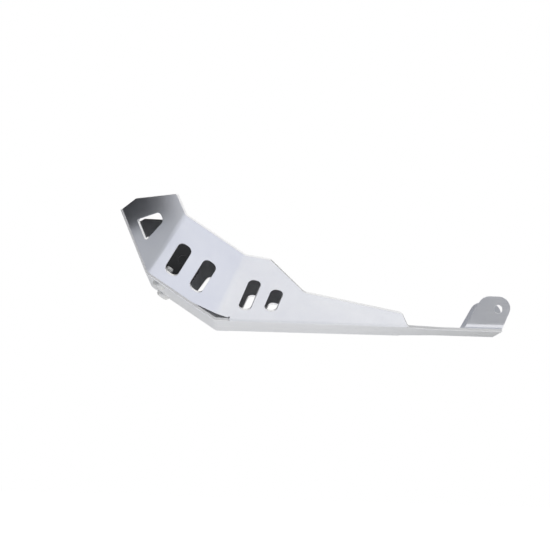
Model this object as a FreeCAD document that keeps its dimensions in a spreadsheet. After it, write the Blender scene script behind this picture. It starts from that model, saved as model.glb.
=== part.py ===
import FreeCAD
import Part
import math
import os

import Sketcher

# Engine guard: one folded aluminium sheet with two steel brackets, screws and nuts.
# Lengths are mm and angles degrees. X runs to the rear, Y to the right, Z up.
# Every piece is drawn from the point on the centreline where base and ramp meet.

DIMENSIONS = [
    ("sheet_thick", 3.0),          # aluminium sheet
    ("bend_radius", 5.0),          # inside radius of the base, ramp and nose bends
    ("wing_bend_radius", 14.0),    # inside radius of the two shallow wing bends
    ("base_half", 100.0),          # half the base width at the ramp bend
    ("base_taper", 4.0),           # each base edge turns in to the rear
    ("base_rear", 291.5),          # ramp bend to the rear edge
    ("ramp_angle", 32.5),
    ("ramp_length", 83.0),
    ("nose_angle", 66.5),
    ("nose_length", 69.0),
    ("rear_flare", 41.0),          # lean of each wing facet, from its own seam
    ("mid_flare", 37.5),
    ("corner_flare", 42.0),
    ("mid_height", 85.0),          # up the middle facet from the seam
    ("seam_gap", 0.5),             # top edge of the ramp and nose to the lower edge of the wing
    ("relief", 15.0),              # start of the bend between base and wing
    ("relief_width", 1.6),
    ("chord_start", 55.0),         # open sliver under the wing, along the ramp seam
    ("chord_rise", 8.2),
    ("chord_end_rise", 3.4),
    ("bend_join", 9.0),            # wing facet starts this far up from the base edge
    ("shoulder_along", 50.5),      # wing top outline on the rear facet
    ("shoulder_rise", 77.2),
    ("waist_along", 87.0),
    ("waist_rise", 38.4),
    ("heel_along", 187.0),
    ("heel_rise", 16.8),
    ("wing_end", 194.7),           # rear edge of the wing, where it meets the base
    ("shoulder_round", 4.0),
    ("waist_round", 12.0),
    ("heel_round", 6.0),
    ("corner_top_rise", 24.4),     # outline of the front corner facet
    ("corner_top_back", 3.1),
    ("peak_along", 11.1),
    ("peak_height", 76.4),
    ("corner_round", 2.5),
    ("slot_corner_share", 0.42),   # corner radius of a slot, as a share of its width
    ("slot_width", 15.0),          # the two slots of the middle facet
    ("slot_low", 15.8),
    ("slot_high", 56.0),
    ("slot_first", 20.1),
    ("slot_pitch", 29.4),
    ("rear_slot_width", 13.0),     # the two slots of the rear facet
    ("rear_slot_angle", 75.0),
    ("rear_slot_first", 32.9),
    ("rear_slot_first_rise", 33.0),
    ("rear_slot_first_length", 38.4),
    ("rear_slot_second", 57.2),
    ("rear_slot_second_rise", 27.4),
    ("rear_slot_second_length", 27.4),
    ("window_near", 15.6),         # window in the front corner facet
    ("window_far", 47.6),
    ("window_top", 16.5),
    ("window_bottom", 39.3),
    ("window_top_far", 19.7),
    ("window_bottom_far", 29.4),
    ("window_round", 2.2),
    ("window_far_round", 5.0),
    ("edge_overlap", 25.0),        # width of base formed with the wing bend
    ("tail_half", 54.0),           # narrow rear part of the base
    ("tail_length", 61.5),
    ("tail_inset", 12.0),
    ("ear_foot", 41.5),            # upright rear ears, measured from the rear edge
    ("ear_top_ahead", 20.5),
    ("ear_overhang", 13.5),
    ("ear_height", 36.0),
    ("ear_round", 12.0),
    ("ear_hole_ahead", 4.5),
    ("ear_hole_rise", 23.0),
    ("ear_hole_dia", 8.5),
    ("screw_inset", 22.0),         # front screws, from the edge of the ramp
    ("screw_down", 16.0),          # along the ramp from the nose bend
    ("screw_dia", 8.0),
    ("screw_length", 20.0),
    ("head_dia", 14.0),
    ("head_height", 4.4),
    ("head_round", 3.6),
    ("socket_width", 5.0),
    ("socket_depth", 2.6),
    ("hole_dia", 9.0),
    ("nut_width", 13.0),
    ("nut_height", 8.0),
    ("nut_flange_dia", 17.5),
    ("nut_flange_thick", 1.6),
    ("nut_bore", 8.1),
    ("bracket_thick", 4.0),
    ("bracket_radius", 4.0),
    ("bracket_width", 28.0),
    ("bracket_foot", 34.0),
    ("bracket_height", 46.0),
    ("bracket_setin", 17.0),       # screw line to the outside of the upright leg
    ("bracket_round", 12.0),
    ("bracket_hole_rise", 31.0),   # in line with the first slot, which lets the bolt in
    ("bracket_hole_dia", 8.5),
    ("origin_along", 100.8),       # ramp bend to the middle of the overall length
]

FORMULAS = [
    ("ramp_run", "ramp_length * cos(ramp_angle * 1 deg)"),
    ("ramp_rise", "ramp_length * sin(ramp_angle * 1 deg)"),
    ("nose_run", "nose_length * cos(nose_angle * 1 deg)"),
    ("nose_rise", "nose_length * sin(nose_angle * 1 deg)"),
    ("rear_turn", "create(<<rotation>>; base_taper; 0; 90 + rear_flare)"),
    ("mid_turn", "create(<<rotation>>; 0; ramp_angle; 90 + mid_flare)"),
    ("corner_turn", "create(<<rotation>>; 0; nose_angle; 90 + corner_flare)"),
    ("along", "create(<<vector>>; 1; 0; 0)"),
    ("outward", "create(<<vector>>; 0; 0; 1)"),
    ("rear_bend", "vcross(rear_turn * outward; mid_turn * outward)"),
    ("front_bend", "vcross(mid_turn * outward; corner_turn * outward)"),
    ("rear_bend_in_rear", "180 deg - vangle(rear_bend; rear_turn * along)"),
    ("rear_bend_in_mid", "180 deg - vangle(rear_bend; mid_turn * along)"),
    ("front_bend_in_mid", "180 deg - vangle(front_bend; mid_turn * along)"),
    ("front_bend_in_corner", "180 deg - vangle(front_bend; corner_turn * along)"),
    ("seam", "sheet_thick * cos(mid_flare * 1 deg) + seam_gap"),
    ("corner_seam", "sheet_thick * cos(corner_flare * 1 deg) + seam_gap"),
    ("rear_bend_length", "mid_height / sin(rear_bend_in_mid)"),
    ("front_bend_length", "mid_height / sin(front_bend_in_mid)"),
    ("chord_on_bend", "chord_rise / sin(rear_bend_in_mid)"),
    ("outer_radius", "bend_radius + sheet_thick"),
    ("wing_outer_radius", "wing_bend_radius + sheet_thick"),
    ("ramp_lap", "sheet_thick * tan(ramp_angle * 0.5 deg)"),
    ("nose_lap", "sheet_thick * tan((nose_angle - ramp_angle) * 0.5 deg)"),
    ("wing_lap", "sheet_thick * tan((90 - rear_flare) * 0.5 deg)"),
    ("heel_foot", "wing_end - (wing_end - heel_along) * bend_join / heel_rise"),
    ("tail_start", "base_rear - tail_length"),
    ("ear_start", "base_rear - ear_foot"),
    ("screw_side", "base_half - screw_inset"),
]

doc = FreeCAD.newDocument("engine_guard")
dims = doc.addObject("Spreadsheet::Sheet", "Dims")
for row, (alias, value) in enumerate(DIMENSIONS, start=1):
    dims.set(f"A{row}", str(value))
    dims.setAlias(f"A{row}", alias)
for row, (alias, formula) in enumerate(FORMULAS, start=1):
    dims.set(f"B{row}", "=" + formula)
    dims.setAlias(f"B{row}", alias)
doc.recompute()

WORDS = sorted((name for name, _ in DIMENSIONS + FORMULAS), key=len, reverse=True)


def sized(text):
    """Turns the dimension words of a formula into references to the sheet."""
    out = []
    word = ""
    for letter in text + " ":
        if letter.isalnum() or letter == "_":
            word += letter
            continue
        out.append("Dims." + word if word in WORDS else word)
        out.append(letter)
        word = ""
    return "".join(out).strip()


def place(x="0", y="0", z="0", turn="create(<<rotation>>; 0; 0; 0)"):
    """A placement formula: a point, and a turn given as a rotation."""
    return f"create(<<placement>>; create(<<vector>>; {x}; {y}; {z}); {turn})"


def turned(yaw="0", pitch="0", roll="0"):
    return f"create(<<rotation>>; {yaw}; {pitch}; {roll})"


def bind(item, **sizes):
    for name, formula in sizes.items():
        item.setExpression(name, sized(formula))


def add(kind, name, **sizes):
    item = doc.addObject(kind, name)
    bind(item, **sizes)
    return item


def number(item, formula):
    value = item.evalExpression(sized(formula))
    return float(getattr(value, "Value", value))


def outline(name, placement, corners):
    """A closed sketch: each corner has an x, a y and, where it is rounded, a radius formula."""
    sketch = add("Sketcher::SketchObject", name, Placement=placement)
    points = [FreeCAD.Vector(number(sketch, x), number(sketch, y), 0) for x, y, *_ in corners]
    rounds = [number(sketch, c[2]) if len(c) > 2 else 0.0 for c in corners]
    count = len(points)
    trims = []
    for i, here in enumerate(points):
        back = (points[i - 1] - here).normalize()
        ahead = (points[(i + 1) % count] - here).normalize()
        half = back.getAngle(ahead) / 2
        length = rounds[i] / math.tan(half)
        trims.append((here + back * length, here + ahead * length))
    lines = []
    for i in range(count):
        segment = Part.LineSegment(trims[i][1], trims[(i + 1) % count][0])
        lines.append(sketch.addGeometry(segment))
    for i, here in enumerate(points):
        before, after = lines[i - 1], lines[i]
        x, y = corners[i][0], corners[i][1]
        if rounds[i]:
            start, end = trims[i]
            inward = (start + end) * 0.5 - here
            reach = (inward.Length ** 2 + (start - end).Length ** 2 / 4) ** 0.5
            centre = here + inward * (reach ** 2 / inward.Length ** 2)
            middle = centre + (here - centre).normalize() * rounds[i]
            arc = sketch.addGeometry(Part.Arc(start, middle, end))
            first = 1 if sketch.getPoint(arc, 1).isEqual(start, 1e-4) else 2
            sketch.addConstraint(Sketcher.Constraint("Tangent", before, 2, arc, first))
            sketch.addConstraint(Sketcher.Constraint("Tangent", arc, 3 - first, after, 1))
            radius = sketch.addConstraint(Sketcher.Constraint("Radius", arc, rounds[i]))
            sketch.setExpression(f"Constraints[{radius}]", sized(corners[i][2]))
            corner = sketch.addGeometry(Part.Point(here), True)
            sketch.addConstraint(Sketcher.Constraint("PointOnObject", corner, 1, before))
            sketch.addConstraint(Sketcher.Constraint("PointOnObject", corner, 1, after))
            held, end_point = corner, 1
        else:
            sketch.addConstraint(Sketcher.Constraint("Coincident", before, 2, after, 1))
            held, end_point = after, 1
        for axis, formula, value in (("DistanceX", x, here.x), ("DistanceY", y, here.y)):
            rule = sketch.addConstraint(Sketcher.Constraint(axis, -1, 1, held, end_point, value))
            sketch.setExpression(f"Constraints[{rule}]", sized(formula))
    doc.recompute()
    return sketch


def prism(name, placement, corners, ahead, behind="0"):
    """The outline pushed along its own normal."""
    body = add("Part::Extrusion", name)
    body.Base = outline(name + "_outline", placement, corners)
    body.DirMode = "Normal"
    body.Solid = True
    bind(body, LengthFwd=ahead, LengthRev=behind)
    doc.recompute()
    return body


def joined(name, *items):
    whole = doc.addObject("Part::MultiFuse", name)
    whole.Shapes = list(items)
    whole.Refine = True
    doc.recompute()
    return whole


def cut(name, base, tool):
    rest = doc.addObject("Part::Cut", name)
    rest.Base = base
    rest.Tool = tool
    doc.recompute()
    return rest


def mirrored(name, item):
    other = doc.addObject("Part::Mirroring", name)
    other.Source = item
    other.Normal = FreeCAD.Vector(0, 1, 0)
    doc.recompute()
    return other


REAR = place("0", "-base_half", "0", "rear_turn")
MID = place("-ramp_run", "-base_half", "ramp_rise", "mid_turn")
CORNER = place("-ramp_run - nose_run", "-base_half", "ramp_rise + nose_rise", "corner_turn")


def hull(name, inset, radius):
    """Block trimmed by the three wing planes, its two wing bends rounded."""
    body = doc.addObject("PartDesign::Body", name)
    block = doc.addObject("PartDesign::AdditiveBox", name + "_block")
    body.addObject(block)
    bind(
        block,
        Length="2 * base_rear",
        Width="3 * base_half",
        Height="ramp_rise + 2 * nose_rise",
        Placement=place("-base_rear", "-3 * base_half", "-sheet_thick * 4"),
    )
    for side, facet in (("rear", REAR), ("mid", MID), ("corner", CORNER)):
        knife = doc.addObject("PartDesign::SubtractiveBox", f"{name}_{side}")
        body.addObject(knife)
        bind(
            knife,
            Length="4 * base_rear",
            Width="4 * base_rear",
            Height="4 * base_half",
            Placement=facet + " * " + place("-2 * base_rear", "-2 * base_rear", f"-({inset})"),
        )
        doc.recompute()
    last = body.Tip
    turns = [dims.get(turn) for turn in ("rear_turn", "mid_turn", "corner_turn")]
    normals = [turn.multVec(FreeCAD.Vector(0, 0, 1)) for turn in turns]
    edges = []
    for index, edge in enumerate(last.Shape.Edges, start=1):
        faces = last.Shape.ancestorsOfType(edge, Part.Face)
        found = [face.normalAt(0, 0) for face in faces]
        tilted = [n for n in found if any(n.isEqual(m, 1e-4) for m in normals)]
        if len(tilted) == 2:
            edges.append(f"Edge{index}")
    bends = doc.addObject("PartDesign::Fillet", name + "_bends")
    body.addObject(bends)
    bends.Base = (last, edges)
    bind(bends, Radius=radius)
    doc.recompute()
    return body


def angle_bar(name, placement, thick, radius, lap, foot, rise, lean, length):
    """A bent strip: a flat foot, a bend and a leg that leans out, pushed along the bend."""
    corners = [
        ("0", "0", f"{radius} + {thick}"),
        (f"-({rise}) * sin({lean} * 1 deg)", f"({rise}) * cos({lean} * 1 deg)"),
        (
            f"{thick} * cos({lean} * 1 deg) - ({rise}) * sin({lean} * 1 deg)",
            f"{thick} * sin({lean} * 1 deg) + ({rise}) * cos({lean} * 1 deg)",
        ),
        (lap, thick, radius),
        (foot, thick),
        (foot, "0"),
    ]
    return prism(name, placement, corners, length)


# Centre strip: base, ramp and nose in one profile, half the width.
strip_profile = [
    ("base_rear", "0"),
    ("base_rear", "sheet_thick"),
    ("ramp_lap", "sheet_thick", "bend_radius"),
    (
        "sheet_thick * sin(ramp_angle * 1 deg) + nose_lap * cos(ramp_angle * 1 deg) - ramp_run",
        "ramp_rise + sheet_thick * cos(ramp_angle * 1 deg) - nose_lap * sin(ramp_angle * 1 deg)",
        "bend_radius",
    ),
    (
        "sheet_thick * sin(nose_angle * 1 deg) - ramp_run - nose_run",
        "ramp_rise + nose_rise + sheet_thick * cos(nose_angle * 1 deg)",
    ),
    ("-ramp_run - nose_run", "ramp_rise + nose_rise"),
    ("-ramp_run", "ramp_rise", "outer_radius"),
    ("0", "0", "outer_radius"),
]
strip = prism("strip", place(turn=turned(roll="90")), strip_profile, "base_half")

# Plan outline of the base: the wing bend takes the outer edge, then the base narrows to its tail.
side_waste = prism(
    "side_waste",
    place(z="-sheet_thick"),
    [
        ("relief", "-2 * base_half"),
        ("relief", "relief * tan(base_taper * 1 deg) + tail_inset - base_half"),
        ("wing_end", "wing_end * tan(base_taper * 1 deg) + tail_inset - base_half"),
        ("tail_start", "-tail_half", "waist_round"),
        ("base_rear * 1.2", "-tail_half"),
        ("base_rear * 1.2", "-2 * base_half"),
    ],
    "3 * sheet_thick",
)
strip_trimmed = cut("strip_trimmed", strip, side_waste)

# Wing: the wall between two hulls, kept inside the flat outline of each facet.
outer_hull = hull("outer_hull", "0", "wing_outer_radius")
inner_hull = hull("inner_hull", "sheet_thick", "wing_bend_radius")
wing_wall = cut("wing_wall", outer_hull, inner_hull)

rear_keep = prism(
    "rear_keep",
    REAR,
    [
        ("chord_on_bend * cos(rear_bend_in_rear)", "chord_on_bend * sin(rear_bend_in_rear)"),
        ("rear_bend_length * cos(rear_bend_in_rear)", "rear_bend_length * sin(rear_bend_in_rear)"),
        ("shoulder_along", "shoulder_rise", "shoulder_round"),
        ("waist_along", "waist_rise", "waist_round"),
        ("heel_along", "heel_rise", "heel_round"),
        ("heel_foot", "bend_join"),
        ("relief", "bend_join"),
        ("relief", "chord_end_rise"),
    ],
    "sheet_thick",
    "3 * sheet_thick",
)
mid_keep = prism(
    "mid_keep",
    MID,
    [
        ("seam / tan(front_bend_in_mid)", "seam"),
        ("mid_height / tan(front_bend_in_mid)", "mid_height"),
        ("ramp_length + mid_height / tan(rear_bend_in_mid)", "mid_height"),
        ("ramp_length + chord_rise / tan(rear_bend_in_mid)", "chord_rise"),
        ("chord_start", "seam"),
    ],
    "sheet_thick",
    "3 * sheet_thick",
)
corner_keep = prism(
    "corner_keep",
    CORNER,
    [
        ("nose_length + corner_seam / tan(front_bend_in_corner)", "corner_seam"),
        (
            "nose_length + front_bend_length * cos(front_bend_in_corner)",
            "front_bend_length * sin(front_bend_in_corner)",
        ),
        ("peak_along", "peak_height", "corner_round"),
        ("-corner_top_back", "corner_top_rise", "corner_round"),
        ("0", "corner_seam"),
    ],
    "sheet_thick",
    "3 * sheet_thick",
)
wing_keep = joined("wing_keep", rear_keep, mid_keep, corner_keep)
wing_blank = doc.addObject("Part::Common", "wing_blank")
wing_blank.Base = wing_wall
wing_blank.Tool = wing_keep
doc.recompute()


def slot(name, spot, width, length):
    """A rounded slot cutter, centred on a spot of a facet and running along its x."""
    rounding = f"slot_corner_share * {width}"
    corners = [
        (f"-0.5 * ({length})", f"-0.5 * {width}", rounding),
        (f"0.5 * ({length})", f"-0.5 * {width}", rounding),
        (f"0.5 * ({length})", f"0.5 * {width}", rounding),
        (f"-0.5 * ({length})", f"0.5 * {width}", rounding),
    ]
    return prism(name, spot, corners, "2 * sheet_thick", "3 * sheet_thick")


def mid_slot(name, along):
    spot = MID + " * " + place(along, "0.5 * (slot_low + slot_high)", "0", turned(yaw="90"))
    return slot(name, spot, "slot_width", "slot_high - slot_low")


def rear_slot(name, along, rise, length):
    spot = REAR + " * " + place(along, rise, "0", turned(yaw="rear_slot_angle"))
    return slot(name, spot, "rear_slot_width", length)


openings = joined(
    "openings",
    mid_slot("mid_slot_front", "slot_first"),
    mid_slot("mid_slot_back", "slot_first + slot_pitch"),
    rear_slot("rear_slot_front", "rear_slot_first", "rear_slot_first_rise", "rear_slot_first_length"),
    rear_slot("rear_slot_back", "rear_slot_second", "rear_slot_second_rise", "rear_slot_second_length"),
    prism(
        "window",
        CORNER,
        [
            ("window_top", "window_near", "window_round"),
            ("window_bottom", "window_near", "window_round"),
            ("window_bottom_far", "window_far", "window_far_round"),
            ("window_top_far", "window_far", "window_far_round"),
        ],
        "2 * sheet_thick",
        "3 * sheet_thick",
    ),
)
wing = cut("wing", wing_blank, openings)

# Bend between base and wing, from the relief to the rear edge of the wing.
wing_bend_bar = angle_bar(
    "wing_bend_bar",
    place(
        "relief * cos(base_taper * 1 deg)",
        "relief * sin(base_taper * 1 deg) - base_half",
        "0",
        turned("90 + base_taper", "0", "90"),
    ),
    "sheet_thick",
    "bend_radius",
    "wing_lap",
    "edge_overlap",
    "bend_join",
    "rear_flare",
    "wing_end - relief",
)
heel_waste = prism(
    "heel_waste",
    REAR,
    [
        ("wing_end", "0"),
        ("wing_end + heel_rise", "0"),
        ("wing_end + heel_rise", "heel_rise"),
        ("heel_along", "heel_rise"),
    ],
    "edge_overlap",
    "edge_overlap",
)
wing_bend = cut("wing_bend", wing_bend_bar, heel_waste)

# Rear ear, bent upright from the tail of the base.
ear_bar = angle_bar(
    "ear_bar",
    place("ear_start", "-tail_half", "0", turned("90", "0", "90")),
    "sheet_thick",
    "bend_radius",
    "sheet_thick",
    "edge_overlap",
    "2 * ear_height",
    "0",
    "2 * ear_foot",
)
ear_keep = prism(
    "ear_keep",
    place(turn=turned(roll="90")),
    [
        ("ear_start", "-sheet_thick"),
        ("base_rear - ear_top_ahead", "ear_height", "ear_round"),
        ("base_rear + ear_overhang", "ear_height", "ear_round"),
        ("base_rear", "sheet_thick"),
        ("base_rear", "-sheet_thick"),
    ],
    "base_half",
)
ear = doc.addObject("Part::Common", "ear")
ear.Base = ear_bar
ear.Tool = ear_keep
doc.recompute()

half_shell = joined("half_shell", strip_trimmed, wing, wing_bend, ear)
relief_notch = add(
    "Part::Box",
    "relief_notch",
    Length="relief_width",
    Width="edge_overlap * 0.5",
    Height="2.4 * sheet_thick",
    Placement=place(y="-base_half", turn=turned("base_taper"))
    + " * "
    + place("relief - relief_width", "-2 * sheet_thick", "-sheet_thick"),
)
half_notched = cut("half_notched", half_shell, relief_notch)
whole_shell = joined("whole_shell", half_notched, mirrored("other_half", half_notched))

# Holes through the finished sheet.
RAMP_SPOT_X = "screw_down * cos(ramp_angle * 1 deg) - ramp_run"
RAMP_SPOT_Z = "ramp_rise - screw_down * sin(ramp_angle * 1 deg)"
SCREW = place(RAMP_SPOT_X, "-screw_side", RAMP_SPOT_Z, turned(pitch="ramp_angle"))


def bore(name, diameter, length, placement):
    return add("Part::Cylinder", name, Radius=f"0.5 * ({diameter})", Height=length, Placement=placement)


screw_hole = bore("screw_hole", "hole_dia", "4 * sheet_thick", SCREW + " * " + place(z="-sheet_thick"))
ear_hole = bore(
    "ear_hole",
    "ear_hole_dia",
    "3 * base_half",
    place("base_rear - ear_hole_ahead", "1.5 * base_half", "ear_hole_rise", turned(roll="90")),
)
holes = joined("holes", screw_hole, mirrored("other_screw_hole", screw_hole), ear_hole)
guard_shell = cut("guard_shell", whole_shell, holes)

# Front bracket: foot on the ramp, upright leg with the hole for the engine's front mount.
BRACKET = SCREW + " * " + place(x="slot_first - screw_down", z="sheet_thick")
bracket_bar = angle_bar(
    "bracket_bar",
    BRACKET
    + " * "
    + place("-0.5 * bracket_width", "bracket_setin", "0", turned("90", "0", "90"))
    + " * "
    + place(turn=turned(pitch="180"), z="bracket_width"),
    "bracket_thick",
    "bracket_radius",
    "bracket_thick",
    "bracket_foot",
    "bracket_height",
    "0",
    "bracket_width",
)
bracket_keep = prism(
    "bracket_keep",
    BRACKET + " * " + place(turn=turned(roll="90")),
    [
        ("-0.5 * bracket_width", "0"),
        ("0.5 * bracket_width", "0"),
        ("0.5 * bracket_width", "bracket_height", "bracket_round"),
        ("-0.5 * bracket_width", "bracket_height", "bracket_round"),
    ],
    "base_half",
    "base_half",
)
bracket_blank = doc.addObject("Part::Common", "bracket_blank")
bracket_blank.Base = bracket_bar
bracket_blank.Tool = bracket_keep
bracket_foot_hole = bore("bracket_foot_hole", "hole_dia", "4 * bracket_thick", SCREW)
bracket_leg_hole = bore(
    "bracket_leg_hole",
    "bracket_hole_dia",
    "base_half",
    BRACKET + " * " + place(y="base_half * 0.5", z="bracket_hole_rise", turn=turned(roll="90")),
)
bracket_holes = joined("bracket_holes", bracket_foot_hole, bracket_leg_hole)
bracket_left = cut("front_bracket_left", bracket_blank, bracket_holes)
bracket_right = mirrored("front_bracket_right", bracket_left)

# Button-head screw: head outside the ramp, shank through ramp, bracket and nut.
screw_profile = outline(
    "screw_profile",
    SCREW + " * " + place(turn=turned(roll="90")),
    [
        ("0", "-head_height"),
        ("0.5 * head_dia", "-head_height", "head_round"),
        ("0.5 * head_dia", "0"),
        ("0.5 * screw_dia", "0"),
        ("0.5 * screw_dia", "screw_length"),
        ("0", "screw_length"),
    ],
)
screw_blank = doc.addObject("Part::Revolution", "screw_blank")
screw_blank.Source = screw_profile
screw_blank.AxisLink = (screw_profile, "V_Axis")
screw_blank.Solid = True
socket = add(
    "Part::Prism",
    "socket",
    Circumradius="socket_width / sqrt(3)",
    Height="socket_depth",
    Placement=SCREW + " * " + place(z="-head_height"),
)
socket.Polygon = 6
screw_left = cut("screw_left", screw_blank, socket)

# Flange nut on the bracket foot.
NUT = SCREW + " * " + place(z="sheet_thick + bracket_thick")
nut_hex = add(
    "Part::Prism",
    "nut_hex",
    Circumradius="nut_width / sqrt(3)",
    Height="nut_height",
    Placement=NUT,
)
nut_hex.Polygon = 6
nut_flange = bore("nut_flange", "nut_flange_dia", "nut_flange_thick", NUT)
nut_solid = joined("nut_solid", nut_hex, nut_flange)
nut_thread = bore("nut_thread", "nut_bore", "2 * nut_height", NUT + " * " + place(z="-nut_flange_thick"))
nut_left = cut("nut_left", nut_solid, nut_thread)


def pair(name, item):
    both = doc.addObject("Part::Compound", name)
    both.Links = [item, mirrored(name + "_right", item)]
    doc.recompute()
    return both


front_screws = pair("front_screws", screw_left)
front_lock_nuts = pair("front_lock_nuts", nut_left)

PIECES = [guard_shell, bracket_left, bracket_right, front_screws, front_lock_nuts]
for piece in PIECES:
    piece.Label = piece.Name
    if piece is not bracket_right:
        bind(piece, Placement=place("-origin_along"))
doc.recompute()

for item in doc.Objects:
    if "Invalid" in item.State or "Error" in item.State:
        raise RuntimeError(f"{item.Name} is {item.State}")

os.makedirs("parts", exist_ok=True)
for piece in PIECES:
    if piece.Shape.isNull() or not piece.Shape.isValid():
        raise RuntimeError(f"{piece.Name} has no valid shape")
    piece.Shape.exportStep(f"parts/{piece.Label}.step")
    print(piece.Label, len(piece.Shape.Solids), round(piece.Shape.Volume), piece.Shape.BoundBox)
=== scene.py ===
from itertools import combinations
from math import radians

import bmesh
import bpy
from mathutils import Matrix, Vector
from mathutils.bvhtree import BVHTree


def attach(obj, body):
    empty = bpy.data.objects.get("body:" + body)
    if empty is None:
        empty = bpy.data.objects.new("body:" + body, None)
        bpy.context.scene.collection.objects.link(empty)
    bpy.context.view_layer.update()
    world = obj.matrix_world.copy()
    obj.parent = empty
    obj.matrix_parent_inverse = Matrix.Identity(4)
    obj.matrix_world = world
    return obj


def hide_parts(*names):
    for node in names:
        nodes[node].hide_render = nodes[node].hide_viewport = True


# Engine guard: a folded aluminium sheet on two steel brackets.
# The solids are the frame. This script gives the sheet and brackets their deburred edges,
# makes the front screws and lock nuts in full, and adds finishes, light, floor and camera.

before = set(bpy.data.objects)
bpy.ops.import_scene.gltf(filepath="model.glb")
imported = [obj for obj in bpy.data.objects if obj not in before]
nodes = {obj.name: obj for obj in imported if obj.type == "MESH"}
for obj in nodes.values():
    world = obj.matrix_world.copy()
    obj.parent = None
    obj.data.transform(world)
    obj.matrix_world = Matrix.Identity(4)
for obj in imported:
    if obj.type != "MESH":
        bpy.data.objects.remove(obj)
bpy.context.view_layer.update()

MM = 0.001

SHEET_THICK = 3.0 * MM
SHEET_DEBURR = 0.35 * MM
BRACKET_DEBURR = 0.5 * MM
SHARP_EDGE = radians(50)
POINTED_CORNER = radians(15)
FLAT_JOINT = radians(0.5)  # triangles that meet flatter than this are one face
MERGE_GAP = 0.002 * MM
TOUCH_GAP = 0.001 * MM
RAY_START = 0.01 * MM  # under the face a ray leaves from
THICK_SLACK = 0.2 * SHEET_THICK
SHEET, CUT = 0, 1  # material indices on the guard

RAMP_ANGLE = radians(32.5)
SCREW_SPOT = Vector((-157.31, 78.0, 36.0)) * MM  # on the underside of the ramp, right screw
HEAD_RADIUS = 7.0 * MM
HEAD_HEIGHT = 4.4 * MM
HEAD_CROWN = 3.5 * MM
SOCKET_RADIUS = 2.89 * MM  # corners of a 5 mm hexagon
SOCKET_DEPTH = 2.6 * MM
SHANK_RADIUS = 3.9 * MM
SHANK_LENGTH = 20.0 * MM
TIP_CHAMFER = 0.6 * MM
THREAD_PITCH = 1.25 * MM
THREAD_CORE = 3.3 * MM
THREAD_CREST = 4.0 * MM
THREAD_START = 13.0 * MM
THREAD_STEPS = 20  # in a turn
RIDGE_SINK = 0.1 * MM  # how far the foot of the ridge lies in the core
RIDGE_HALF = 0.45  # half of the ridge's foot, in pitches
NUT_FOOT = 7.0 * MM  # sheet and bracket under the nut
NUT_RADIUS = 7.5 * MM  # corners of a 13 mm hexagon
NUT_HEX_HEIGHT = 6.2 * MM
NUT_HEIGHT = 8.0 * MM
FLANGE_RADIUS = 8.75 * MM
FLANGE_THICK = 1.6 * MM
COLLAR_RADIUS = 5.9 * MM
INSERT_RADIUS = 5.0 * MM
INSERT_PROUD = 0.02 * MM
NUT_ROUND = 0.7 * MM  # on the flange and the hexagon
COLLAR_ROUND = 0.6 * MM
NYLON = 1  # material index on the nuts

FLOOR_DROP = 0.30  # the guard hangs at its height above the road
FLOOR_HALF = 20
FLOOR_SHOWN = 0.5  # added to the paint where the camera sees the floor
FLOOR_MIRRORED = 0.28  # added to it in reflections
SKY_LIGHT = 0.6  # what falls on matt surfaces
SKY_SHOWN = 1.0
WALL_RADIUS = 4.2
WALL_HEIGHT = 1.5
FALL_START = 0.12  # along X, on the board behind the guard
FALL_END = 0.31


def linear(hex_colour):
    """An sRGB hex colour as the linear colour that shaders take."""
    parts = [int(hex_colour[i : i + 2], 16) / 255 for i in (0, 2, 4)]
    parts = [c / 12.92 if c <= 0.04045 else ((c + 0.055) / 1.055) ** 2.4 for c in parts]
    return (*parts, 1.0)


def per_size(size):
    """Texture scale of a pattern whose features are that long, in metres."""
    return 1.0 / size


def add(tree, kind, inputs=None, **settings):
    """Adds a node. An input takes a plain value, or another node's output as a link."""
    made = tree.nodes.new(kind)
    for name, value in settings.items():
        setattr(made, name, value)
    for name, value in (inputs or {}).items():
        if isinstance(value, bpy.types.NodeSocket):
            tree.links.new(value, made.inputs[name])
        else:
            made.inputs[name].default_value = value
    return made


def blank_material(name):
    material = bpy.data.materials.new(name)
    material.use_nodes = True
    material.node_tree.nodes.clear()
    return material, material.node_tree


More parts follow.
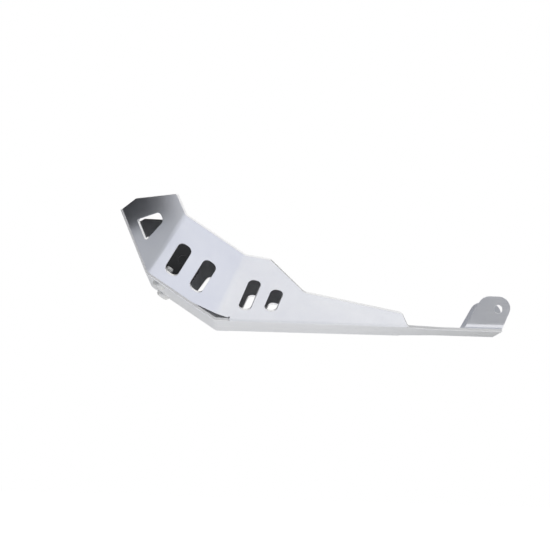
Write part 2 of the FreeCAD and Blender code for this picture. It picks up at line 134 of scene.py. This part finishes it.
# Aluminium sheet, rolled, folded and clear anodised: an even silver with soft reflections,
# a faint grain along the rolling direction, slow clouds where the anodising took differently,
# low waves left by folding, which bend the reflections a little, and a few fine handling marks.
def anodised_sheet():
    material, tree = blank_material("aluminium_sheet_satin_anodised")
    spot = add(tree, "ShaderNodeTexCoord").outputs["Object"]
    grain_size = (45 * MM, 0.9 * MM, 0.9 * MM)  # real grain is finer, and would not show
    stretched = add(
        tree,
        "ShaderNodeMapping",
        {"Vector": spot, "Scale": [per_size(size) for size in grain_size]},
    )
    grain = add(
        tree,
        "ShaderNodeTexNoise",
        {"Vector": stretched.outputs["Vector"], "Scale": 1.0, "Detail": 3.0, "Roughness": 0.6},
    )
    clouds = add(
        tree,
        "ShaderNodeTexNoise",
        {"Vector": spot, "Scale": per_size(38 * MM), "Detail": 4.0, "Roughness": 0.6},
    )
    waves = add(
        tree,
        "ShaderNodeTexNoise",
        {"Vector": spot, "Scale": per_size(30 * MM), "Detail": 1.0, "Roughness": 0.4},
    )
    blast = add(
        tree,
        "ShaderNodeTexNoise",
        {"Vector": spot, "Scale": per_size(0.7 * MM), "Detail": 2.0, "Roughness": 0.7},
    )
    mark_size = (1.3 * MM, 26 * MM, 26 * MM)
    marks_lie = add(
        tree,
        "ShaderNodeMapping",
        {
            "Vector": spot,
            "Rotation": (0.5, 0.3, 0.9),
            "Scale": [per_size(size) for size in mark_size],
        },
    )
    marks = add(
        tree,
        "ShaderNodeTexNoise",
        {"Vector": marks_lie.outputs["Vector"], "Scale": 1.0, "Detail": 2.0, "Roughness": 0.5},
    )
    marked = add(
        tree,
        "ShaderNodeMapRange",
        {
            "Value": marks.outputs["Fac"],
            "From Min": 0.64,
            "From Max": 0.74,
            "To Min": 0.0,
            "To Max": 0.12,
        },
    )
    tone = add(
        tree,
        "ShaderNodeMix",
        {"Factor": clouds.outputs["Fac"], "A": linear("D8DAE2"), "B": linear("E9EAED")},
        data_type="RGBA",
    )
    gloss = add(
        tree,
        "ShaderNodeMapRange",
        {
            "Value": grain.outputs["Fac"],
            "From Min": 0.3,
            "From Max": 0.7,
            "To Min": 0.3,
            "To Max": 0.4,
        },
    )
    gloss_marked = add(
        tree,
        "ShaderNodeMath",
        {0: gloss.outputs["Result"], 1: marked.outputs["Result"]},
        operation="ADD",
    )
    texture = add(
        tree,
        "ShaderNodeMath",
        {0: grain.outputs["Fac"], 1: blast.outputs["Fac"]},
        operation="ADD",
    )
    wavy = add(
        tree,
        "ShaderNodeBump",
        {"Strength": 1.0, "Distance": 0.22 * MM, "Height": waves.outputs["Fac"]},
    )
    bump = add(
        tree,
        "ShaderNodeBump",
        {
            "Strength": 0.2,
            "Distance": 0.02 * MM,
            "Height": texture.outputs["Value"],
            "Normal": wavy.outputs["Normal"],
        },
    )
    shader = add(
        tree,
        "ShaderNodeBsdfPrincipled",
        {
            "Base Color": tone.outputs["Result"],
            "Metallic": 1.0,
            "Roughness": gloss_marked.outputs["Value"],
            "Normal": bump.outputs["Normal"],
        },
    )
    add(tree, "ShaderNodeOutputMaterial", {"Surface": shader.outputs["BSDF"]})
    return material


# Laser-cut aluminium edge, deburred: a little whiter than the faces and matt,
# with fine ripples left by the beam.
def cut_edge():
    material, tree = blank_material("aluminium_edge_laser_cut")
    spot = add(tree, "ShaderNodeTexCoord").outputs["Object"]
    ripples = add(
        tree,
        "ShaderNodeTexNoise",
        {"Vector": spot, "Scale": per_size(0.8 * MM), "Detail": 2.0, "Roughness": 0.6},
    )
    gloss = add(
        tree,
        "ShaderNodeMapRange",
        {
            "Value": ripples.outputs["Fac"],
            "From Min": 0.3,
            "From Max": 0.7,
            "To Min": 0.36,
            "To Max": 0.5,
        },
    )
    bump = add(
        tree,
        "ShaderNodeBump",
        {"Strength": 0.4, "Distance": 0.03 * MM, "Height": ripples.outputs["Fac"]},
    )
    shader = add(
        tree,
        "ShaderNodeBsdfPrincipled",
        {
            "Base Color": linear("F2F2F3"),
            "Metallic": 1.0,
            "Roughness": gloss.outputs["Result"],
            "Normal": bump.outputs["Normal"],
        },
    )
    add(tree, "ShaderNodeOutputMaterial", {"Surface": shader.outputs["BSDF"]})
    return material


# Mild steel, black powder coat: deep matt black with the low waves of orange peel.
def powder_coat():
    material, tree = blank_material("steel_black_powder_coat")
    spot = add(tree, "ShaderNodeTexCoord").outputs["Object"]
    peel = add(
        tree,
        "ShaderNodeTexNoise",
        {"Vector": spot, "Scale": per_size(1.2 * MM), "Detail": 1.0, "Roughness": 0.4},
    )
    gloss = add(
        tree,
        "ShaderNodeMapRange",
        {"Value": peel.outputs["Fac"], "To Min": 0.38, "To Max": 0.52},
    )
    bump = add(
        tree,
        "ShaderNodeBump",
        {"Strength": 0.5, "Distance": 0.06 * MM, "Height": peel.outputs["Fac"]},
    )
    shader = add(
        tree,
        "ShaderNodeBsdfPrincipled",
        {
            "Base Color": linear("1A1B1D"),
            "Roughness": gloss.outputs["Result"],
            "Normal": bump.outputs["Normal"],
        },
    )
    add(tree, "ShaderNodeOutputMaterial", {"Surface": shader.outputs["BSDF"]})
    return material


# Stainless steel, cold headed and tumbled: warm grey, fairly bright, with small scuffs.
def stainless():
    material, tree = blank_material("stainless_steel_tumbled")
    spot = add(tree, "ShaderNodeTexCoord").outputs["Object"]
    scuffs = add(
        tree,
        "ShaderNodeTexNoise",
        {"Vector": spot, "Scale": per_size(1.5 * MM), "Detail": 4.0, "Roughness": 0.7},
    )
    gloss = add(
        tree,
        "ShaderNodeMapRange",
        {
            "Value": scuffs.outputs["Fac"],
            "From Min": 0.3,
            "From Max": 0.7,
            "To Min": 0.42,
            "To Max": 0.58,
        },
    )
    shader = add(
        tree,
        "ShaderNodeBsdfPrincipled",
        {"Base Color": linear("DADAD9"), "Metallic": 1.0, "Roughness": gloss.outputs["Result"]},
    )
    add(tree, "ShaderNodeOutputMaterial", {"Surface": shader.outputs["BSDF"]})
    return material


# Steel, bright zinc plated: cool silver with a soft mottle.
def zinc_plate():
    material, tree = blank_material("steel_zinc_plated")
    spot = add(tree, "ShaderNodeTexCoord").outputs["Object"]
    mottle = add(
        tree,
        "ShaderNodeTexNoise",
        {"Vector": spot, "Scale": per_size(3 * MM), "Detail": 3.0, "Roughness": 0.6},
    )
    tone = add(
        tree,
        "ShaderNodeMix",
        {"Factor": mottle.outputs["Fac"], "A": linear("A9AFB4"), "B": linear("CDD1D3")},
        data_type="RGBA",
    )
    gloss = add(
        tree,
        "ShaderNodeMapRange",
        {
            "Value": mottle.outputs["Fac"],
            "From Min": 0.3,
            "From Max": 0.7,
            "To Min": 0.28,
            "To Max": 0.42,
        },
    )
    shader = add(
        tree,
        "ShaderNodeBsdfPrincipled",
        {"Base Color": tone.outputs["Result"], "Metallic": 1.0, "Roughness": gloss.outputs["Result"]},
    )
    add(tree, "ShaderNodeOutputMaterial", {"Surface": shader.outputs["BSDF"]})
    return material


# Nylon ring in the lock nut: milky, slightly shiny plastic.
def nylon():
    material, tree = blank_material("nylon_moulded")
    spot = add(tree, "ShaderNodeTexCoord").outputs["Object"]
    haze = add(tree, "ShaderNodeTexNoise", {"Vector": spot, "Scale": per_size(2 * MM), "Detail": 2.0})
    tone = add(
        tree,
        "ShaderNodeMix",
        {"Factor": haze.outputs["Fac"], "A": linear("DAD8CF"), "B": linear("EAE8E0")},
        data_type="RGBA",
    )
    shader = add(
        tree,
        "ShaderNodeBsdfPrincipled",
        {"Base Color": tone.outputs["Result"], "Roughness": 0.45, "IOR": 1.53},
    )
    add(tree, "ShaderNodeOutputMaterial", {"Surface": shader.outputs["BSDF"]})
    return material


def settle_order(shape):
    """Orders vertices, edges and faces by place, since a bevel makes them in no fixed order."""
    rank = {vert: i for i, vert in enumerate(sorted(shape.verts, key=lambda vert: vert.co[:]))}
    shape.verts.sort(key=rank.get)
    for parts in (shape.edges, shape.faces):
        rows = sorted(parts, key=lambda part: sorted(rank[vert] for vert in part.verts))
        place = {part: i for i, part in enumerate(rows)}
        parts.sort(key=place.get)


def make_piece(name, shape, materials):
    """Turns a finished bmesh into a piece of the guard, smooth except at its sharp edges."""
    settle_order(shape)
    for edge in shape.edges:
        edge.smooth = edge.calc_face_angle(0.0) < SHARP_EDGE
    for face in shape.faces:
        face.smooth = True
    mesh = bpy.data.meshes.new(name)
    shape.to_mesh(mesh)
    shape.free()
    for material in materials:
        mesh.materials.append(material)
    piece = bpy.data.objects.new(name, mesh)
    bpy.context.scene.collection.objects.link(piece)
    even = piece.modifiers.new("even_normals", "WEIGHTED_NORMAL")
    even.keep_sharp = True
    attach(piece, "root")
    return piece


def merged_copy(node):
    """The triangles of a solid as one closed mesh."""
    shape = bmesh.new()
    shape.from_mesh(nodes[node].data)
    bmesh.ops.remove_doubles(shape, verts=shape.verts[:], dist=MERGE_GAP)
    return shape


def pointed_edges(shape, sharp):
    """Sharp edges that run into a pointed corner, and the rest of a cut face that narrows to one."""
    found = set()
    for vert in shape.verts:
        for one, other in combinations([edge for edge in vert.link_edges if edge in sharp], 2):
            way = one.other_vert(vert).co - vert.co
            if way.angle(other.other_vert(vert).co - vert.co) < POINTED_CORNER:
                found.update((one, other))
                for face in set(one.link_faces) & set(other.link_faces):
                    if face.material_index == CUT:
                        found.update(face.edges)
    return found


def deburr(shape, width):
    """Joins flat triangles into whole faces and takes the sharp edges off, where there is room."""
    bmesh.ops.dissolve_limit(
        shape,
        angle_limit=FLAT_JOINT,
        verts=shape.verts[:],
        edges=shape.edges[:],
        delimit={"MATERIAL"},
    )
    sharp = [edge for edge in shape.edges if edge.calc_face_angle(0.0) > SHARP_EDGE]
    pointed = pointed_edges(shape, set(sharp))
    bmesh.ops.bevel(
        shape,
        geom=[edge for edge in sharp if edge not in pointed],
        offset=width,
        offset_type="OFFSET",
        segments=2,
        profile=0.5,
        affect="EDGES",
        clamp_overlap=False,
        material=-1,
    )
    bmesh.ops.dissolve_degenerate(shape, dist=TOUCH_GAP, edges=shape.edges[:])


def mark_cut_edges(shape):
    """A face whose back lies one sheet thickness behind it is sheet. The others are cut edges."""
    tree = BVHTree.FromBMesh(shape)
    for face in shape.faces:
        start = face.calc_center_median() - face.normal * RAY_START
        depth = tree.ray_cast(start, -face.normal)[3]
        is_sheet = depth is not None and abs(depth - SHEET_THICK) < THICK_SLACK
        face.material_index = SHEET if is_sheet else CUT


# Sheet and brackets: the solids with deburred edges.
sheet_finish = anodised_sheet()
edge_finish = cut_edge()
coat_finish = powder_coat()

guard_shape = merged_copy("guard_shell")
mark_cut_edges(guard_shape)
deburr(guard_shape, SHEET_DEBURR)
guard = make_piece("guard_sheet", guard_shape, [sheet_finish, edge_finish])
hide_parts("guard_shell")

for side in ("left", "right"):
    bracket_shape = merged_copy(f"front_bracket_{side}")
    deburr(bracket_shape, BRACKET_DEBURR)
    bracket = make_piece(f"coated_bracket_{side}", bracket_shape, [coat_finish])
    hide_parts(f"front_bracket_{side}")


def cylinder(shape, radius, low, high, segments=48):
    """A closed cylinder on the Z axis. Returns its vertices."""
    return bmesh.ops.create_cone(
        shape,
        cap_ends=True,
        segments=segments,
        radius1=radius,
        radius2=radius,
        depth=high - low,
        matrix=Matrix.Translation((0, 0, (low + high) / 2)),
    )["verts"]


def round_end(shape, verts, height, width, segments):
    """Rounds or chamfers the rim of a cylinder at that height."""
    rim = {v for v in verts if abs(v.co.z - height) < TOUCH_GAP}
    edges = [e for e in shape.edges if e.verts[0] in rim and e.verts[1] in rim]
    bmesh.ops.bevel(
        shape,
        geom=edges,
        offset=width,
        offset_type="OFFSET",
        segments=segments,
        profile=0.5,
        affect="EDGES",
        clamp_overlap=True,
        material=-1,
    )


def sink_hexagon(shape, height, radius, depth):
    """Sinks a hexagon socket into the flat top at that height, for a top that faces down."""
    top = min(shape.faces, key=lambda face: face.calc_center_median().z)
    rim = top.edges[:]
    bmesh.ops.delete(shape, geom=[top], context="FACES_ONLY")
    hexagon = bmesh.ops.create_circle(
        shape, segments=6, radius=radius, matrix=Matrix.Translation((0, 0, height))
    )["verts"]
    mouth = [edge for edge in shape.edges if all(vert in hexagon for vert in edge.verts)]
    bmesh.ops.bridge_loops(shape, edges=rim + mouth)
    walls = bmesh.ops.extrude_edge_only(shape, edges=mouth)["geom"]
    bottom = [item for item in walls if isinstance(item, bmesh.types.BMVert)]
    bmesh.ops.translate(shape, verts=bottom, vec=(0, 0, depth))
    wall_edges = [item for item in walls if isinstance(item, bmesh.types.BMEdge)]
    floor = [edge for edge in wall_edges if all(vert in bottom for vert in edge.verts)]
    bmesh.ops.contextual_create(shape, geom=floor)


def wind_thread(shape, core, crest, low, high, pitch):
    """Winds a closed V ridge round the Z axis from low to high."""
    turns = (high - low) / pitch
    ridge = [
        shape.verts.new((core - RIDGE_SINK, 0, low - RIDGE_HALF * pitch)),
        shape.verts.new((crest, 0, low)),
        shape.verts.new((core - RIDGE_SINK, 0, low + RIDGE_HALF * pitch)),
    ]
    start = shape.faces.new(ridge)
    wound = bmesh.ops.spin(
        shape,
        geom=start.edges[:] + start.verts[:],
        axis=(0, 0, 1),
        cent=(0, 0, 0),
        dvec=(0, 0, pitch / THREAD_STEPS),
        angle=radians(360) * turns,
        steps=int(THREAD_STEPS * turns),
    )["geom_last"]
    bmesh.ops.contextual_create(shape, geom=[e for e in wound if isinstance(e, bmesh.types.BMEdge)])


def screw_shape():
    """Button-head screw along +Z, with its head below and its seat at zero."""
    shape = bmesh.new()
    head = cylinder(shape, HEAD_RADIUS, -HEAD_HEIGHT, 0)
    round_end(shape, head, -HEAD_HEIGHT, HEAD_CROWN, 8)
    sink_hexagon(shape, -HEAD_HEIGHT, SOCKET_RADIUS, SOCKET_DEPTH)
    cylinder(shape, SHANK_RADIUS, 0, THREAD_START)
    core = cylinder(shape, THREAD_CORE, THREAD_START - THREAD_PITCH, SHANK_LENGTH)
    round_end(shape, core, SHANK_LENGTH, TIP_CHAMFER, 1)
    wind_thread(
        shape,
        THREAD_CORE,
        THREAD_CREST,
        THREAD_START,
        SHANK_LENGTH - THREAD_PITCH,
        THREAD_PITCH,
    )
    bmesh.ops.recalc_face_normals(shape, faces=shape.faces[:])
    return shape


def nut_shape():
    """Flange lock nut along +Z with its flange at NUT_FOOT, and a nylon ring in its collar."""
    shape = bmesh.new()
    flange = cylinder(shape, FLANGE_RADIUS, NUT_FOOT, NUT_FOOT + FLANGE_THICK)
    round_end(shape, flange, NUT_FOOT + FLANGE_THICK, NUT_ROUND, 3)
    body = cylinder(shape, NUT_RADIUS, NUT_FOOT + FLANGE_THICK / 2, NUT_FOOT + NUT_HEX_HEIGHT, 6)
    round_end(shape, body, NUT_FOOT + NUT_HEX_HEIGHT, NUT_ROUND, 2)
    collar = cylinder(shape, COLLAR_RADIUS, NUT_FOOT + FLANGE_THICK, NUT_FOOT + NUT_HEIGHT)
    round_end(shape, collar, NUT_FOOT + NUT_HEIGHT, COLLAR_ROUND, 3)
    before = set(shape.faces)
    cylinder(shape, INSERT_RADIUS, NUT_FOOT + FLANGE_THICK, NUT_FOOT + NUT_HEIGHT + INSERT_PROUD, 32)
    for face in set(shape.faces) - before:
        face.material_index = NYLON
    caps = [face for face in shape.faces if len(face.verts) > 4]
    bmesh.ops.poke(shape, faces=caps)  # as fans the caps are split the same way in every run
    bmesh.ops.recalc_face_normals(shape, faces=shape.faces[:])
    return shape


def both_sides(make):
    """The right-hand shape on its spot on the ramp, and its twin on the left."""
    pair = bmesh.new()
    for side in (1, -1):
        shape = make()
        spot = Vector((SCREW_SPOT.x, side * SCREW_SPOT.y, SCREW_SPOT.z))
        shape.transform(Matrix.Translation(spot) @ Matrix.Rotation(RAMP_ANGLE, 4, "Y"))
        mesh = bpy.data.meshes.new("one_side")
        shape.to_mesh(mesh)
        shape.free()
        pair.from_mesh(mesh)
        bpy.data.meshes.remove(mesh)
    return pair


screws = make_piece("button_screws", both_sides(screw_shape), [stainless()])
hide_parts("front_screws")
nuts = make_piece("flange_lock_nuts", both_sides(nut_shape), [zinc_plate(), nylon()])
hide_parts("front_lock_nuts")


# Floor: a wide pale board at road height. It looks white where it is open and keeps the shadow.
def painted_floor():
    material, tree = blank_material("floor_matt_white_paint")
    path = add(tree, "ShaderNodeLightPath")
    paint = add(tree, "ShaderNodeBsdfDiffuse", {"Color": linear("F0F0F0")})
    mirrored = add(
        tree,
        "ShaderNodeMath",
        {0: path.outputs["Is Glossy Ray"], 1: path.outputs["Is Transmission Ray"]},
        operation="MAXIMUM",
    )
    mirrored_lift = add(
        tree,
        "ShaderNodeMath",
        {0: mirrored.outputs["Value"], 1: FLOOR_MIRRORED},
        operation="MULTIPLY",
    )
    lift = add(
        tree,
        "ShaderNodeMix",
        {
            "Factor": path.outputs["Is Camera Ray"],
            "A": mirrored_lift.outputs["Value"],
            "B": FLOOR_SHOWN,
        },
        data_type="FLOAT",
    )
    glow = add(
        tree,
        "ShaderNodeEmission",
        {"Color": linear("FFFFFF"), "Strength": lift.outputs["Result"]},
    )
    lifted = add(tree, "ShaderNodeAddShader", {0: paint.outputs["BSDF"], 1: glow.outputs["Emission"]})
    add(tree, "ShaderNodeOutputMaterial", {"Surface": lifted.outputs["Shader"]})
    return material


# Painted reflections: glowing boards and a wall that only the metal sees, of one even tone,
# or two that blend along X, for a board whose painted reflection darkens to the rear.
def painted_reflection_material(name, colour, rear_colour=None):
    material, tree = blank_material(name)
    tint = linear(colour)
    if rear_colour:
        spot = add(tree, "ShaderNodeTexCoord").outputs["Object"]
        along = add(tree, "ShaderNodeSeparateXYZ", {"Vector": spot})
        fall = add(
            tree,
            "ShaderNodeMapRange",
            {"Value": along.outputs["X"], "From Min": FALL_START, "From Max": FALL_END},
        )
        tint = add(
            tree,
            "ShaderNodeMix",
            {"Factor": fall.outputs["Result"], "A": linear(colour), "B": linear(rear_colour)},
            data_type="RGBA",
        ).outputs["Result"]
    # The board glows with its tint, unlit: a painted reflection for the metal.
    reflection_emitter = add(tree, "ShaderNodeEmission", {"Color": tint, "Strength": 1.0})
    add(tree, "ShaderNodeOutputMaterial", {"Surface": reflection_emitter.outputs["Emission"]})
    return material


def stage_piece(name, shape, material):
    """Turns a bmesh into part of the studio."""
    mesh = bpy.data.meshes.new(name)
    shape.to_mesh(mesh)
    shape.free()
    mesh.materials.append(material)
    piece = bpy.data.objects.new(name, mesh)
    bpy.context.scene.collection.objects.link(piece)
    return piece


def only_mirrored(piece):
    """Leaves a board to the reflections alone: it hides nothing and throws no shadow."""
    piece.visible_camera = False
    piece.visible_diffuse = False
    piece.visible_transmission = False
    piece.visible_shadow = False


floor_shape = bmesh.new()
bmesh.ops.create_grid(
    floor_shape,
    x_segments=1,
    y_segments=1,
    size=FLOOR_HALF,
    matrix=Matrix.Translation((0, 0, -FLOOR_DROP)),
)
stage_piece("floor", floor_shape, painted_floor())

wall_shape = bmesh.new()
bmesh.ops.create_cone(
    wall_shape,
    cap_ends=False,
    segments=64,
    radius1=WALL_RADIUS,
    radius2=WALL_RADIUS,
    depth=WALL_HEIGHT,
    matrix=Matrix.Translation((0, 0, WALL_HEIGHT / 2 - FLOOR_DROP)),
)
# The wall glows grey and only the metal sees it: a painted reflection.
only_mirrored(stage_piece("studio_wall", wall_shape, painted_reflection_material("wall_grey_cloth", "7C7E81")))


def hang_board(name, middle, width, height, turn, *colours):
    """A flat glowing board seen only by the metal, a painted reflection, width along its own X and
    height along its own Y.
    """
    shape = bmesh.new()
    bmesh.ops.create_grid(shape, x_segments=1, y_segments=1, size=0.5)
    bmesh.ops.scale(shape, vec=(width, height, 1), verts=shape.verts[:])
    shape.transform(Matrix.Translation(middle) @ turn)
    only_mirrored(stage_piece(name, shape, painted_reflection_material(name + "_cloth", *colours)))


lying = Matrix.Identity(4)
upright_across = Matrix.Rotation(radians(90), 4, "Z") @ Matrix.Rotation(radians(90), 4, "X")

# Painted reflection in the left corner facet: its dark front end, and the grey below it.
hang_board("board_ahead", (-0.225, -0.119, 0.2245), 0.078, 0.297, upright_across, "040506")
hang_board("board_ahead_low", (-0.225, -0.111, 0.033), 0.122, 0.086, upright_across, "BABCBF")
# Painted dark reflection in the far wing, which so looks dark behind the slots of the near one.
hang_board("board_above", (-0.03, 0.095, 0.18), 0.40, 0.18, lying, "101113")
# Painted reflection in the middle facet of the left wing: pale and cool.
hang_board("board_low", (-0.62, -0.35, -0.28), 0.80, 0.90, lying, "F6F8FF")
# Painted reflection in the underside of the base: grey, and darker to the rear.
hang_board("board_behind", (0.6, 2.4, -0.28), 4.0, 3.2, lying, "D8D8D5", "747466")


def softbox(name, spot, aim, size, power):
    """A square area lamp at a spot, turned to the point it aims at."""
    lamp = bpy.data.lights.new(name, "AREA")
    lamp.shape = "SQUARE"
    lamp.size = size
    lamp.energy = power
    holder = bpy.data.objects.new(name, lamp)
    holder.location = spot
    holder.rotation_euler = (Vector(aim) - Vector(spot)).to_track_quat("-Z", "Y").to_euler()
    holder.visible_glossy = False  # the metal shows the studio, not the lamp
    bpy.context.scene.collection.objects.link(holder)


softbox("softbox_above", spot=(0.3, -0.5, 2.4), aim=(0, 0, 0), size=2.4, power=28)

# Sky: white to the camera and in the metal, dimmer as light on matt surfaces.
world = bpy.data.worlds.new("studio")
bpy.context.scene.world = world
world.use_nodes = True
sky = world.node_tree
sky.nodes.clear()
light_path = add(sky, "ShaderNodeLightPath")
shown = add(
    sky,
    "ShaderNodeMath",
    {0: light_path.outputs["Is Camera Ray"], 1: light_path.outputs["Is Transmission Ray"]},
    operation="MAXIMUM",
)
shown_or_mirrored = add(
    sky,
    "ShaderNodeMath",
    {0: shown.outputs["Value"], 1: light_path.outputs["Is Glossy Ray"]},
    operation="MAXIMUM",
)
level = add(
    sky,
    "ShaderNodeMapRange",
    {"Value": shown_or_mirrored.outputs["Value"], "To Min": SKY_LIGHT, "To Max": SKY_SHOWN},
)
studio = add(
    sky,
    "ShaderNodeBackground",
    {"Color": linear("FFFFFF"), "Strength": level.outputs["Result"]},
)
add(sky, "ShaderNodeOutputWorld", {"Surface": studio.outputs["Background"]})

# Camera: low at the left side of the guard, a little under the base, with a long lens.
camera_data = bpy.data.cameras.new("camera")
camera_data.sensor_width = 36
camera_data.lens = 190.5
camera = bpy.data.objects.new("camera", camera_data)
camera.location = (-0.0704, -3.0, -0.1586)
camera.rotation_euler = (radians(94.063), radians(-1.776), radians(-0.69))
bpy.context.scene.collection.objects.link(camera)
bpy.context.scene.camera = camera

bpy.context.scene.view_settings.view_transform = "Standard"
